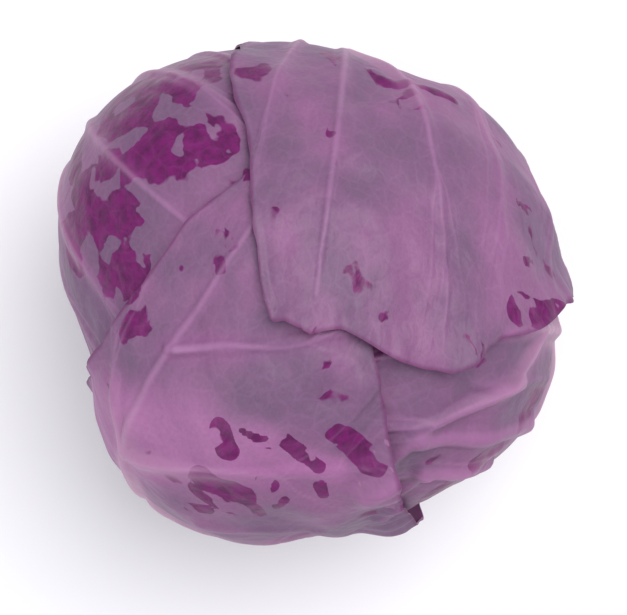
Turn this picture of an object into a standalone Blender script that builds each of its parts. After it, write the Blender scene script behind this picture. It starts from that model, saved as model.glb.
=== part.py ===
"""A red cabbage head that stands on its cut stalk.

The head is a heart of packed inner leaves with a stalk grown up into it, and
five wrapper leaves laid round that heart one over the other. Every surface is a
height above the heart, measured outwards from the middle of the head, so each
leaf lies on the leaves under it and clear of them.

The origin is the centre of the stalk's cut face and +Z runs up the stalk.
Metres throughout. Bearings turn anticlockwise from +X, seen from above.
"""

from collections import namedtuple

import bmesh
import bpy
import numpy as np
from mathutils import Vector
from mathutils.bvhtree import BVHTree

MM = 0.001

# Driving dimensions
HEAD_WIDTH = 136 * MM
HEAD_DEPTH = 132 * MM
HEAD_HEIGHT = 124 * MM
LEAF_THICKNESS = 0.9 * MM
LEAF_GAP = 0.7 * MM
STALK_RADIUS = 16.0 * MM
STALK_LENGTH = 46 * MM
SOCKET_GAP = 0.4 * MM

# How thick the wrapper leaves lie, together, at the head's sides and on its crown
SIDE_STACK = 4.6 * MM
CROWN_STACK = 10.9 * MM

# The heart's half axes, and the height of the head's middle above the cut face
HEART_HALF_HEIGHT = 49.8 * MM
HEART_HALF_AXES = np.array(
    [HEAD_WIDTH / 2 - SIDE_STACK, HEAD_DEPTH / 2 - SIDE_STACK, HEART_HALF_HEIGHT]
)
MIDDLE = np.array([0.0, 0.0, HEAD_HEIGHT - HEART_HALF_HEIGHT - CROWN_STACK])
HEART_BOTTOM = MIDDLE[2] - HEART_HALF_HEIGHT
SHOULDER_POWER = 2.2
SPHERE_RADIUS = 66 * MM

# The stalk's outline from its cut face up, narrowing inside the heart: radius, height,
# and which way the height moves when a clearance is added
STALK_OUTLINE = (
    (STALK_RADIUS, 0.0, -1),
    (STALK_RADIUS + 0.5 * MM, 1.0 * MM, 0),
    (STALK_RADIUS - 0.3 * MM, 4.0 * MM, 0),
    (STALK_RADIUS - 1.8 * MM, HEART_BOTTOM - 4 * MM, 0),
    (STALK_RADIUS - 3.4 * MM, HEART_BOTTOM + 1 * MM, 0),
    (STALK_RADIUS - 5.0 * MM, HEART_BOTTOM + 14 * MM, 0),
    (STALK_RADIUS - 7.0 * MM, STALK_LENGTH - 5 * MM, 0),
    (STALK_RADIUS - 9.5 * MM, STALK_LENGTH - 1 * MM, 1),
    (0.3 * STALK_RADIUS, STALK_LENGTH, 1),
)
STALK_SIDES = 32

# The head isn't round from above: (lobes, share of the radius, bearing of a lobe)
LOBES = ((1, 0.034, 132), (2, 0.028, 126), (3, 0.044, 10), (4, 0.031, 64))

# Shallow dents all over the head: (height, wave length, direction, phase in degrees)
DENTS = (
    (0.5 * MM, 62 * MM, (0.8, 0.5, 0.3), 20),
    (0.4 * MM, 47 * MM, (-0.5, 0.6, 0.6), 130),
    (0.3 * MM, 38 * MM, (0.3, -0.7, 0.6), 250),
    (0.2 * MM, 29 * MM, (0.6, 0.2, -0.8), 75),
)

# Where a leaf sits: its base and its middle, in degrees up from the stalk
BASE_POLAR = 16.5
MIDDLE_POLAR = 100.0
BASE_HALF_WIDTH = 19 * MM
BASE_SAG = 3.5 * MM
TIP_HALF_WIDTH = 12 * MM
TIP_SAG = 3.0 * MM

# Margins: how far a leaf is seen under the next, and how its free edge stands off
COVER_BEYOND = 3 * MM
COVER_FALL = 15 * MM
FREE_EDGE = 9 * MM
EDGE_LIFT = 1.6 * MM
EDGE_WAVE = 1.2 * MM
EDGE_SCALLOP = 1.6 * MM
RUFFLE_BLEND = 40 * MM
LIFT_RISE = 30 * MM

# How much wider than a rib its imprint in the leaves outside it is, on each side
IMPRINT_SPREAD = 6 * MM

# Ribs: half width and height at the leaf's base and at its far end
MIDRIB = ((7.5 * MM, 4.2 * MM), (2.0 * MM, 0.3 * MM))
LATERAL = ((3.4 * MM, 1.5 * MM), (2.2 * MM, 0.5 * MM))
MIDRIB_REACH = 0.97
LATERAL_REACH = 0.94
RIB_TAPER = 0.7
STAGGER = 3 * MM
BASE_SWELL = 1.6 * MM
BASE_SWELL_LENGTH = 24 * MM

# A leaf's mesh: its rows, the columns from midrib to margin, and a side rib's foot,
# as a share of the way from the base to the tip
ROW_COUNT = 30
MARGIN_COLUMNS = 8
RIB_FOOT = 0.028

# Laying a leaf on what is under it: the least gap, the steepest rise where it is
# lifted, the parts that a triangle's side is tested in, and how often it is repeated
CLEARANCE = 0.5 * MM
TAUT_SLOPE = 0.12
TEST_PARTS = 5
SETTLE_ROUNDS = 20
TAUT_ROUNDS = 10
RAY_START = 200 * MM

# The outermost leaf comes first. bearing: of the midrib, in degrees. left, right: half
# widths in degrees to its anticlockwise and clockwise side. past_crown: how far the
# tip folds past the crown, in degrees. sweep: how far the midrib has moved to the
# anticlockwise side by its end. fan: how strongly the side ribs crowd to the base.
# reach: below 1 they reach the margin higher up. bow: how far they hang below a
# straight line. left_ribs, right_ribs: their rows, from 0 at the base to 1 at the tip.
# ruffles: how strongly the left and the right margin stand off and wave.
Leaf = namedtuple(
    "Leaf",
    "name bearing left right past_crown sweep fan reach bow left_ribs right_ribs ruffles seed",
)
MID_EVEN = 0.2
EVEN_RIBS = (0.16, 0.29, 0.42, 0.55, 0.68, 0.81)
LEAVES = (
    Leaf(
        "leaf_1", 84, 25, 80, 14, -4 * MM, 4.0, 0.6, 4 * MM,
        (0.30, 0.56), (0.30, 0.44, 0.60, 0.77), (0.35, 1.3), 1,
    ),
    Leaf(
        "leaf_2", 243, 66, 21, 18, -28 * MM, 1.9, 1.35, -6 * MM,
        EVEN_RIBS, (0.42, 0.68), (1.8, 0.5), 2,
    ),
    Leaf(
        "leaf_3", 352, 60, 64, 14, -4 * MM, 1.8, 0.74, 9 * MM,
        EVEN_RIBS, EVEN_RIBS, (1.0, 1.8), 3,
    ),
    Leaf(
        "leaf_4", 134, 68, 56, 12, 16 * MM, 4.0, 0.6, 4 * MM,
        (0.34, 0.50, 0.66), (0.34, 0.50, 0.66), (1.0, 1.0), 4,
    ),
    Leaf(
        "leaf_5", 277, 60, 60, 10, 0, 1.6, 0.78, 9 * MM,
        EVEN_RIBS, EVEN_RIBS, (1.6, 1.0), 5,
    ),
)
HEART_LEAVES = tuple(
    Leaf(name, bearing, 64, 64, 12, 0, 1.8, 0.74, 9 * MM, (), (), (1.0, 1.0), seed)
    for name, bearing, seed in (("heart_a", 75, 6), ("heart_b", 215, 7), ("heart_c", 340, 8))
)
HEART_STEP = 1.0 * MM

# Colours in linear light
LEAF_COLOUR = (0.150, 0.030, 0.120)
HEART_COLOUR = (0.190, 0.050, 0.160)
STALK_COLOUR = (0.640, 0.520, 0.480)
LEAF_ROUGHNESS = 0.38
HEART_ROUGHNESS = 0.45
STALK_ROUGHNESS = 0.6


def smooth(x):
    """0 below 0, 1 above 1, and a smooth step between."""
    x = np.clip(x, 0.0, 1.0)
    return x * x * (3.0 - 2.0 * x)


def directions(points):
    return points / np.linalg.norm(points, axis=-1, keepdims=True)


def heart_radius(d):
    """Distance from the head's middle to the heart's surface along the unit vectors d."""
    p = SHOULDER_POWER
    radius = ((np.abs(d) / HEART_HALF_AXES) ** p).sum(-1) ** (-1.0 / p)
    bearing = np.arctan2(d[..., 1], d[..., 0])
    level = d[..., 0] ** 2 + d[..., 1] ** 2
    lobes = sum(
        share * np.cos(count * (bearing - np.radians(peak)))
        for count, share, peak in LOBES
    )
    dents = sum(
        height * np.sin(2 * np.pi * SPHERE_RADIUS / length * (d @ way) + np.radians(phase))
        for height, length, way, phase in DENTS
    )
    return radius * (1.0 + lobes * level) + dents


class LeafShape:
    """One leaf: a flat outline with ribs, wrapped round the head.

    Flat places (x, y) are distances from the leaf's middle, x to the anticlockwise
    side and y towards the tip. A row q runs from the midrib to the margin along
    the direction of the side ribs, and t is the share of that way, from -1 to 1.
    """

    def __init__(self, leaf):
        self.leaf = leaf
        turn, polar = np.radians(leaf.bearing), np.radians(MIDDLE_POLAR)
        out = np.array([np.cos(turn), np.sin(turn), 0.0])
        up = np.array([0.0, 0.0, 1.0])
        self.middle = np.sin(polar) * out - np.cos(polar) * up
        self.tipward = np.cos(polar) * out + np.sin(polar) * up
        self.side = np.array([-np.sin(turn), np.cos(turn), 0.0])
        self.base_y = -np.radians(MIDDLE_POLAR - BASE_POLAR) * SPHERE_RADIUS
        tip_polar = 180 + leaf.past_crown
        self.tip_y = np.radians(tip_polar - MIDDLE_POLAR) * SPHERE_RADIUS
        draw = np.random.default_rng(leaf.seed)
        self.phase = draw.uniform(0, 2 * np.pi, 6)
        self.outline = self.margin_loop()
        self.ribs = self.rib_lines()

    def half_width(self, t):
        degrees = np.where(np.asarray(t) >= 0, self.leaf.left, self.leaf.right)
        return np.radians(degrees) * SPHERE_RADIUS

    def row_end(self, q, t):
        """The margin's flat place at the end of row q, on the side of t."""
        around = np.pi * q**self.leaf.reach
        width = self.half_width(t) - BASE_HALF_WIDTH / 2
        x = (
            width * np.sin(around).clip(0) ** 0.7
            + BASE_HALF_WIDTH * np.cos(around / 2) ** 2
            + TIP_HALF_WIDTH * np.sin(around / 2) ** 8
        )
        rise = (1 - np.cos(around)) / 2
        y = self.base_y + (self.tip_y - self.base_y) * rise
        y = y - BASE_SAG * (1 - q) ** 6 - TIP_SAG * q**6
        side = np.where(np.asarray(t) >= 0, 1.0, -1.0)
        scallop = (
            np.sin(5 * around + self.phase[4] + 2 * side)
            + 0.7 * np.sin(9 * around + self.phase[0] + side)
            + 0.4 * np.sin(14 * around + self.phase[1] + 2 * side)
        )
        x = x + EDGE_SCALLOP * scallop * np.sin(around)
        return x, y

    def mid_share(self, q):
        """How far up the midrib row q starts, from 0 at the base to 1 at the tip."""
        return MID_EVEN * q + (1 - MID_EVEN) * q**self.leaf.fan

    def flat(self, q, t):
        """Flat places for rows q and shares t (arrays of one shape)."""
        q, t = np.broadcast_arrays(np.asarray(q, float), np.asarray(t, float))
        share, side = np.abs(t), np.sign(t)
        end_x, end_y = self.row_end(q, t)
        mid_y = self.base_y + (self.tip_y - self.base_y) * self.mid_share(q)
        bow = 4 * share * (1 - share) * self.leaf.bow * np.sin(np.pi * q)
        stagger = side * STAGGER * np.sin(np.pi * q) * (1 - share) * share * 4
        y = mid_y + (end_y - mid_y) * share - bow + stagger
        risen = (y - self.base_y) / -self.base_y
        swept = self.leaf.sweep * smooth(risen / 1.6)
        return np.stack([side * share * end_x + swept, y], -1)

    def wrap(self, flat):
        """Unit vectors from the head's middle to flat places."""
        reach = np.linalg.norm(flat, axis=-1)
        safe = np.maximum(reach, 1e-9)[..., None]
        heading = (flat[..., :1] * self.side + flat[..., 1:] * self.tipward) / safe
        angle = (reach / SPHERE_RADIUS)[..., None]
        return np.cos(angle) * self.middle + np.sin(angle) * heading

    def unwrap(self, d):
        """Flat places of unit vectors d."""
        along = np.stack([d @ self.side, d @ self.tipward], -1)
        across = np.linalg.norm(along, axis=-1)
        angle = np.arctan2(across, d @ self.middle)
        return along * (angle * SPHERE_RADIUS / np.maximum(across, 1e-9))[..., None]

    def margin_loop(self):
        q = np.linspace(0, 1, 60)
        ends = np.linspace(-1, 1, 9)
        left, right = self.flat(q, 1.0), self.flat(q, -1.0)
        base, tip = self.flat(0.0, ends), self.flat(1.0, ends[::-1])
        return np.concatenate([base[:-1], left[:-1], tip[:-1], right[::-1][:-1]])

    def inside(self, d):
        """Distance of unit vectors d inside the margin, negative outside it."""
        p = self.unwrap(d).reshape(-1, 2)
        a = self.outline
        b = np.roll(a, -1, 0)
        edge = b - a
        away = np.full(len(p), np.inf)
        crossings = np.zeros(len(p), int)
        for start, run in zip(a, edge):
            rel = p - start
            along = np.clip(rel @ run / (run @ run), 0, 1)
            gap = rel - along[:, None] * run
            away = np.minimum(away, (gap * gap).sum(1))
            spans = (rel[:, 1] < 0) != (rel[:, 1] < run[1])
            height = run[1] if abs(run[1]) > 1e-12 else 1e-12
            crossings += spans & (rel[:, 0] < rel[:, 1] * run[0] / height)
        sign = np.where(crossings % 2 == 1, 1.0, -1.0)
        return (sign * np.sqrt(away)).reshape(d.shape[:-1])

    def cover(self, d):
        """1 under this leaf and just past its margin, falling smoothly to 0."""
        return smooth((self.inside(d) + COVER_BEYOND + COVER_FALL) / COVER_FALL)

    def rib_lines(self):
        """(points on the sphere, half widths, heights) of the midrib and side ribs."""
        q = np.linspace(0.0, MIDRIB_REACH, 26)
        lines = [(self.flat(q, 0.0), q, MIDRIB)]
        t = np.linspace(0.0, LATERAL_REACH, 9)
        for side, rows in ((1.0, self.leaf.left_ribs), (-1.0, self.leaf.right_ribs)):
            for row in rows:
                lines.append((self.flat(row, side * t), t, LATERAL))
        made = []
        for flat, share, (near, far) in lines:
            width = near[0] + (far[0] - near[0]) * share**RIB_TAPER
            height = near[1] + (far[1] - near[1]) * share**RIB_TAPER
            made.append((self.wrap(flat) * SPHERE_RADIUS, width, height))
        return made

    def relief(self, d, spread=0.0):
        """Height of the ribs above the blade along unit vectors d."""
        p = d.reshape(-1, 3) * SPHERE_RADIUS
        best = np.zeros(len(p))
        for points, width, height in self.ribs:
            for i in range(len(points) - 1):
                run = points[i + 1] - points[i]
                rel = p - points[i]
                along = np.clip(rel @ run / (run @ run), 0, 1)
                gap = np.linalg.norm(rel - along[:, None] * run, axis=1)
                half = width[i] + (width[i + 1] - width[i]) * along + spread
                tall = height[i] + (height[i + 1] - height[i]) * along
                bump = (1 - np.clip(gap / half, 0, 1) ** 2) ** 2
                best = np.maximum(best, tall * bump)
        return best.reshape(d.shape[:-1])

    def swell(self, d):
        """The blade thickens towards the leaf's base."""
        up_from_base = self.unwrap(d)[..., 1] - self.base_y
        return BASE_SWELL * np.exp(-np.maximum(up_from_base, 0) / BASE_SWELL_LENGTH)

    def stack(self, d):
        """What this leaf adds under the leaves outside it."""
        own = LEAF_THICKNESS + LEAF_GAP + self.swell(d)
        return self.cover(d) * (own + self.relief(d, IMPRINT_SPREAD))

    def edge_stand_off(self, d):
        """A free margin stands off the head and waves."""
        flat = self.unwrap(d)
        left = smooth(0.5 + flat[..., 0] / RUFFLE_BLEND)
        ruffle = left * self.leaf.ruffles[0] + (1 - left) * self.leaf.ruffles[1]
        near_edge = 1 - smooth(self.inside(d) / (FREE_EDGE * ruffle))
        around = np.arctan2(flat[..., 0], flat[..., 1])
        wave = np.sin(9 * around + self.phase[2]) + 0.7 * np.sin(
            15 * around + self.phase[3]
        )
        above_base = smooth((flat[..., 1] - self.base_y) / LIFT_RISE)
        lift = np.maximum(EDGE_LIFT + EDGE_WAVE * wave, 0) * ruffle
        return near_edge * above_base * lift


SHAPES = [LeafShape(leaf) for leaf in LEAVES]


def leaf_underside(index, d):
    """Radius of a leaf's inner face: on the heart and every leaf further in, then stood off."""
    radius = heart_radius(d) + LEAF_GAP
    for inner in SHAPES[index + 1 :]:
        radius = radius + inner.stack(d)
    free = np.ones(d.shape[:-1])
    for outer in SHAPES[:index]:
        free = free * (1 - outer.cover(d))
    return radius + free * SHAPES[index].edge_stand_off(d)


def leaf_outside(index, d, underside):
    shape = SHAPES[index]
    return underside + LEAF_THICKNESS + shape.swell(d) + shape.relief(d)


def leaf_rows(shape):
    """Rows at each side rib's crest and feet, with more where rows are far apart."""
    crests = sorted({*shape.leaf.left_ribs, *shape.leaf.right_ribs})
    rows = [0.0, 1.0]
    for crest in crests:
        rows += [crest - RIB_FOOT, crest, crest + RIB_FOOT]
    while len(rows) < ROW_COUNT:
        rows.sort()
        middle = shape.flat(np.array(rows), 0.0)[:, 1]
        margin = shape.flat(np.array(rows), -1.0)
        along_margin = np.linalg.norm(np.diff(margin, axis=0), axis=1)
        widest = int(np.maximum(np.diff(middle), 0.5 * along_margin).argmax())
        rows.append((rows[widest] + rows[widest + 1]) / 2)
    return np.array(sorted(rows))


def leaf_columns(shape, rows, count):
    """Shares along each row: the midrib's crest and foot, then even steps to the margin."""
    length = np.linalg.norm(shape.flat(rows, 1.0) - shape.flat(rows, 0.0), axis=-1)
    foot = MIDRIB[0][0] + (MIDRIB[1][0] - MIDRIB[0][0]) * rows**RIB_TAPER
    foot = np.minimum(1.25 * foot / length, 0.4)
    steps = np.linspace(0, 1, count)
    right = foot[:, None] + (1 - foot[:, None]) * steps
    half = 0.5 * foot[:, None]
    zero = np.zeros((len(rows), 1))
    return np.concatenate([-right[:, ::-1], -half, zero, half, right], 1)


def sheet_triangles(rows, columns):
    """Corner numbers of a grid's triangles, split alike on both sides of the middle column."""
    made = []
    for i in range(rows - 1):
        for j in range(columns - 1):
            a, b = i * columns + j, i * columns + j + 1
            c, d = b + columns, a + columns
            if j < columns // 2:
                made += [(a, b, c), (a, c, d)]
            else:
                made += [(a, b, d), (b, c, d)]
    return np.array(made)


def cast_inwards(tree, d):
    """For each unit vector, the radius at which a ray from outside meets a tree, and where."""
    middle = Vector(MIDDLE)
    tops, met = np.zeros(len(d)), np.full(len(d), -1)
    for i, way in enumerate(d):
        way = Vector(way)
        _, _, triangle, reach = tree.ray_cast(middle + RAY_START * way, -way, RAY_START)
        if reach is not None:
            tops[i], met[i] = RAY_START - reach, triangle
    return tops, met


def draw_taut(lift, points, triangles):
    """Carries a lift out to the neighbours, so that a sheet rises no steeper than allowed."""
    sides = np.concatenate([triangles[:, (0, 1)], triangles[:, (1, 2)], triangles[:, (2, 0)]])
    sides = np.concatenate([sides, sides[:, ::-1]])
    fall = TAUT_SLOPE * np.linalg.norm(points[sides[:, 0]] - points[sides[:, 1]], axis=1)
    for _ in range(TAUT_ROUNDS):
        np.maximum.at(lift, sides[:, 0], lift[sides[:, 1]] - fall)


def settle(d, radius, triangles, below):
    """Lifts a sheet until all of it is clear of what already lies under it."""
    shares = np.array(
        [
            (i, j, TEST_PARTS - i - j)
            for i in range(TEST_PARTS + 1)
            for j in range(TEST_PARTS + 1 - i)
        ]
    )
    shares = shares / TEST_PARTS
    lower = np.array(below[0])
    lower_reach = np.linalg.norm(lower - MIDDLE, axis=1)
    lower_ways = directions(lower - MIDDLE)
    lower_tree = BVHTree.FromPolygons(*below)
    radius, ways = radius.copy(), d.reshape(-1, 3)
    lifted = radius.reshape(-1)
    first, lift = lifted.copy(), np.zeros_like(lifted)
    for _ in range(SETTLE_ROUNDS):
        corners = (lifted[:, None] * ways)[triangles]
        points = shares @ corners
        reach = np.linalg.norm(points, axis=-1)
        tops = cast_inwards(lower_tree, directions(points).reshape(-1, 3))[0]
        short = (tops.reshape(reach.shape) + CLEARANCE - reach).max(1)
        sheet = BVHTree.FromPolygons((MIDDLE + lifted[:, None] * ways).tolist(), triangles.tolist())
        tops, met = cast_inwards(sheet, lower_ways)
        over = met >= 0
        np.maximum.at(short, met[over], (lower_reach + CLEARANCE - tops)[over])
        low = short > 1e-6
        if not low.any():
            break
        step = np.zeros_like(lifted)
        for corner in range(3):
            np.maximum.at(step, triangles[low, corner], short[low])
        lift += step
        draw_taut(lift, first[:, None] * ways, triangles)
        lifted[:] = first + lift
    return radius


def closed_sheet(name, outside, underside, triangles):
    """A closed mesh from two grids of points that share their triangles."""
    rows, columns = outside.shape[:2]
    count = rows * columns
    loop = list(range(columns - 1))
    loop += [i * columns + columns - 1 for i in range(rows - 1)]
    loop += [(rows - 1) * columns + j for j in range(columns - 1, 0, -1)]
    loop += [i * columns for i in range(rows - 1, 0, -1)]
    faces = [tuple(face) for face in triangles]
    faces += [tuple(face[::-1] + count) for face in triangles]
    for a, b in zip(loop, loop[1:] + loop[:1]):
        faces += [(b, a, a + count), (b, a + count, b + count)]
    bm = bmesh.new()
    points = np.concatenate([outside.reshape(-1, 3), underside.reshape(-1, 3)])
    corners = [bm.verts.new(point) for point in points]
    for face in faces:
        bm.faces.new([corners[i] for i in face])
    return add_object(name, bm)


def add_object(name, bm):
    mesh = bpy.data.meshes.new(name)
    bm.to_mesh(mesh)
    bm.free()
    mesh.shade_smooth()
    mesh.set_sharp_from_angle(angle=np.radians(50))
    made = bpy.data.objects.new(name, mesh)
    bpy.context.scene.collection.objects.link(made)
    return made


def finish_material(made, name, colour, roughness):
    material = bpy.data.materials.get(name) or bpy.data.materials.new(name)
    material.use_nodes = True
    shader = material.node_tree.nodes["Principled BSDF"]
    shader.inputs["Base Color"].default_value = (*colour, 1.0)
    shader.inputs["Roughness"].default_value = roughness
    shader.inputs["Metallic"].default_value = 0.0
    made.data.materials.append(material)


def make_leaf(index, below):
    """One wrapper leaf: a thin blade with a midrib and side ribs on its outer face."""
    shape = SHAPES[index]
    rows = leaf_rows(shape)
    shares = leaf_columns(shape, rows, MARGIN_COLUMNS)
    d = shape.wrap(shape.flat(rows[:, None], shares))
    triangles = sheet_triangles(*shares.shape)
    under = settle(d, leaf_underside(index, d), triangles, below)
    over = leaf_outside(index, d, under)
    made = closed_sheet(
        LEAVES[index].name,
        MIDDLE + over[..., None] * d,
        MIDDLE + under[..., None] * d,
        triangles,
    )
    finish_material(made, "red_leaf", LEAF_COLOUR, LEAF_ROUGHNESS)
    return made


def add_to(below, made):
    """Adds an object's triangles to the (points, triangles) that leaves are laid on."""
    points, triangles = below
    first = len(points)
    points += [vertex.co.copy() for vertex in made.data.vertices]
    triangles += [
        tuple(first + corner for corner in face.vertices) for face in made.data.polygons
    ]


def make_heart():
    """The packed inner leaves as one body, whose last leaves show as low steps."""
    bm = bmesh.new()
    bmesh.ops.create_uvsphere(bm, u_segments=32, v_segments=20, radius=1.0)
    d = directions(np.array([v.co for v in bm.verts]))
    radius = heart_radius(d) - HEART_STEP
    for leaf in HEART_LEAVES[::-1]:
        radius = radius + HEART_STEP / len(HEART_LEAVES) * LeafShape(leaf).cover(d)
    for vertex, place in zip(bm.verts, MIDDLE + radius[:, None] * d):
        vertex.co = place
    bmesh.ops.triangulate(bm, faces=bm.faces)
    made = add_object("heart", bm)
    finish_material(made, "inner_leaf", HEART_COLOUR, HEART_ROUGHNESS)
    return made


def stalk_profile(grow):
    """(radius, height) from the cut face up, grown outwards by a clearance."""
    return [(radius + grow, height + way * grow) for radius, height, way in STALK_OUTLINE]


def turned(name, profile, sides):
    """A solid turned round the Z axis from a profile, closed at both ends."""
    bm = bmesh.new()
    rings = []
    for radius, height in profile:
        rings.append(
            [
                bm.verts.new((radius * np.cos(a), radius * np.sin(a), height))
                for a in np.linspace(0, 2 * np.pi, sides, endpoint=False)
            ]
        )
    for low, high in zip(rings, rings[1:]):
        for i in range(sides):
            k = (i + 1) % sides
            bm.faces.new((low[i], low[k], high[k], high[i]))
    bm.faces.new(rings[0][::-1])
    bm.faces.new(rings[-1])
    bmesh.ops.recalc_face_normals(bm, faces=bm.faces)
    return add_object(name, bm)


def make_stalk():
    """The cut stalk. Its upper part is grown up inside the heart."""
    made = turned("stalk", stalk_profile(0.0), STALK_SIDES)
    finish_material(made, "stalk_flesh", STALK_COLOUR, STALK_ROUGHNESS)
    return made


def seat_stalk_in(heart):
    """Cuts the stalk's place out of the heart."""
    cutter = turned("stalk_socket", stalk_profile(SOCKET_GAP), STALK_SIDES)
    cutter.hide_render = True
    cutter.display_type = "WIRE"
    cut = heart.modifiers.new("stalk_socket", "BOOLEAN")
    cut.operation = "DIFFERENCE"
    cut.solver = "EXACT"
    cut.object = cutter


def main():
    for old in list(bpy.data.objects):
        bpy.data.objects.remove(old)
    below = ([], [])
    make_stalk()
    heart = make_heart()
    add_to(below, heart)
    seat_stalk_in(heart)
    for index in reversed(range(len(LEAVES))):
        add_to(below, make_leaf(index, below))


main()
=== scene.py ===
# %% [markdown]
# # A red cabbage head
#
# The object is a round head of red cabbage that stands on its cut stalk. Five waxy
# wrapper leaves are folded over one another round a packed heart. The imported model
# gives each piece its place and size, and this script gives each piece its finer
# form and its finish. Lengths are in metres, and +Z runs up from the cut stalk.

import functools
from collections import namedtuple

import bmesh
import bpy
import numpy as np
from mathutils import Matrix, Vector


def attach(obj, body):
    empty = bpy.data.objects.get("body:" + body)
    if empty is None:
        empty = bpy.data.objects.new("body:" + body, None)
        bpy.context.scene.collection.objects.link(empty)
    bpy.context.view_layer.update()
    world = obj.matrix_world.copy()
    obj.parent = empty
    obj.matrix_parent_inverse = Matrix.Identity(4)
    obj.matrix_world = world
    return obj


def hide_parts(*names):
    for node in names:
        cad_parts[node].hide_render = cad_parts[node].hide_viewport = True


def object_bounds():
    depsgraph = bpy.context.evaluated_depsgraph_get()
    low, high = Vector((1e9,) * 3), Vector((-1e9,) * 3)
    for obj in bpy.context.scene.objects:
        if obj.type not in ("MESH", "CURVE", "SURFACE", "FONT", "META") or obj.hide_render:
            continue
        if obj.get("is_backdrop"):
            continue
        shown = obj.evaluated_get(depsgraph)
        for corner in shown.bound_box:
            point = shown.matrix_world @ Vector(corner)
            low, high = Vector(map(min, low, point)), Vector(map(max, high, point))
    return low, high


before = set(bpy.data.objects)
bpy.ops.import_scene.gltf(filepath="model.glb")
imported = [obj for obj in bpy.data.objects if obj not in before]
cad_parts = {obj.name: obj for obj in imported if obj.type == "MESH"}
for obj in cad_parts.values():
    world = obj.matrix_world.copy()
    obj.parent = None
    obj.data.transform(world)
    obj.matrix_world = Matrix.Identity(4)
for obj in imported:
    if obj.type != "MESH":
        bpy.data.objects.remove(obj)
cad_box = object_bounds()
MM = 0.001
print("CAD size in mm:", [round(side / MM, 1) for side in cad_box[1] - cad_box[0]])

# %% [markdown]
# ## One rule for every surface
#
# The leaves of a real head press on each other, so each one shows the ribs and the
# margins of the leaves under it. Sculpting them one by one would lose that. Here
# every surface is a radius from the head's middle, a function of the direction. The
# heart comes first, and each leaf adds its thickness to what lies under it.

# %% Sizes of the head
HEAD_WIDTH = 136 * MM
HEAD_DEPTH = 132 * MM
HEAD_HEIGHT = 124 * MM
# How thick all the leaves are together, at the sides and over the crown
SIDE_STACK = 4.6 * MM
CROWN_STACK = 10.9 * MM
HEART_HALF_HEIGHT = 49.8 * MM
HEART_HALF_AXES = np.array(
    [HEAD_WIDTH / 2 - SIDE_STACK, HEAD_DEPTH / 2 - SIDE_STACK, HEART_HALF_HEIGHT]
)
MIDDLE = np.array([0.0, 0.0, HEAD_HEIGHT - HEART_HALF_HEIGHT - CROWN_STACK])
# 2 makes the heart an ellipsoid, and more makes its shoulders fuller
SHOULDER_POWER = 2.2
# Lengths over the head are measured on a sphere of this radius
SPHERE_RADIUS = 66 * MM
print("middle of the head, in mm above the cut:", round(MIDDLE[2] / MM, 1))


# %% Helpers for steps, directions and distances
TINY = 1e-12


def smooth(x):
    """0 below 0, 1 above 1, and a smooth step between."""
    x = np.clip(x, 0.0, 1.0)
    return x * x * (3.0 - 2.0 * x)


def mound(x):
    """1 at 0, falling in a rounded curve to 0 at 1 and beyond."""
    return (1 - np.clip(x, 0, 1) ** 2) ** 2


def toward(bearing, from_crown):
    """Unit vector at a bearing from +X and an angle down from the crown, in degrees."""
    turn, tilt = np.radians(bearing), np.radians(from_crown)
    return np.array([np.sin(tilt) * np.cos(turn), np.sin(tilt) * np.sin(turn), np.cos(tilt)])


def to_segment(p, start, run):
    """How far points p are from a segment, and how far along it their nearest places are."""
    rel = p - start
    along = np.clip(rel @ run / (run @ run), 0, 1)
    rel -= along[:, None] * run
    return np.sqrt(np.einsum("ij,ij->i", rel, rel)), along


def to_path(d, places):
    """Distance over the head from unit vectors d to a path of (bearing, from_crown) places."""
    p = d.reshape(-1, 3)
    points = np.array([toward(*place) for place in places])
    best = np.linalg.norm(p - points[0], axis=1)
    for start, run in zip(points, np.diff(points, axis=0)):
        best = np.minimum(best, to_segment(p, start, run)[0])
    return (best * SPHERE_RADIUS).reshape(d.shape[:-1])


# %% [markdown]
# A head that grew among others is never quite round. A few low waves round the
# outline and a few shallow dents are enough, because the eye reads lumps wider than
# a finger as shape, and smaller ones as dirt.

# %% The heart's surface
# Waves round the outline: (how many, share of the radius, bearing of a crest)
LOBES = ((1, 0.034, 132), (2, 0.028, 126), (3, 0.044, 10), (4, 0.031, 64))
# Dents: (height, wave length, direction, phase in degrees)
DENTS = (
    (0.5 * MM, 62 * MM, (0.8, 0.5, 0.3), 20),
    (0.4 * MM, 47 * MM, (-0.5, 0.6, 0.6), 130),
    (0.3 * MM, 38 * MM, (0.3, -0.7, 0.6), 250),
    (0.2 * MM, 29 * MM, (0.6, 0.2, -0.8), 75),
)


def heart_radius(d):
    """Distance from the head's middle to the heart's surface along the unit vectors d."""
    p = SHOULDER_POWER
    radius = ((np.abs(d) / HEART_HALF_AXES) ** p).sum(-1) ** (-1.0 / p)
    bearing = np.arctan2(d[..., 1], d[..., 0])
    level = d[..., 0] ** 2 + d[..., 1] ** 2
    lobes = sum(
        share * np.cos(count * (bearing - np.radians(peak)))
        for count, share, peak in LOBES
    )
    dents = sum(
        height * np.sin(2 * np.pi * SPHERE_RADIUS / length * (d @ way) + np.radians(phase))
        for height, length, way, phase in DENTS
    )
    return radius * (1.0 + lobes * level) + dents


print("heart's radius at the crown, in mm:", round(float(heart_radius(toward(0, 0))) / MM, 1))

# %% [markdown]
# ## The five wrapper leaves
#
# A wrapper leaf is a broad fan. It grows from the stalk by a thick pale midrib, and
# its side ribs curve away towards the margin. Each leaf is first laid out flat, in
# rows that run along its side ribs, and then wrapped round the head. A row has a
# number q from base to tip, and a place in it has a share t from the midrib to the
# margin, negative on the clockwise side.

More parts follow.
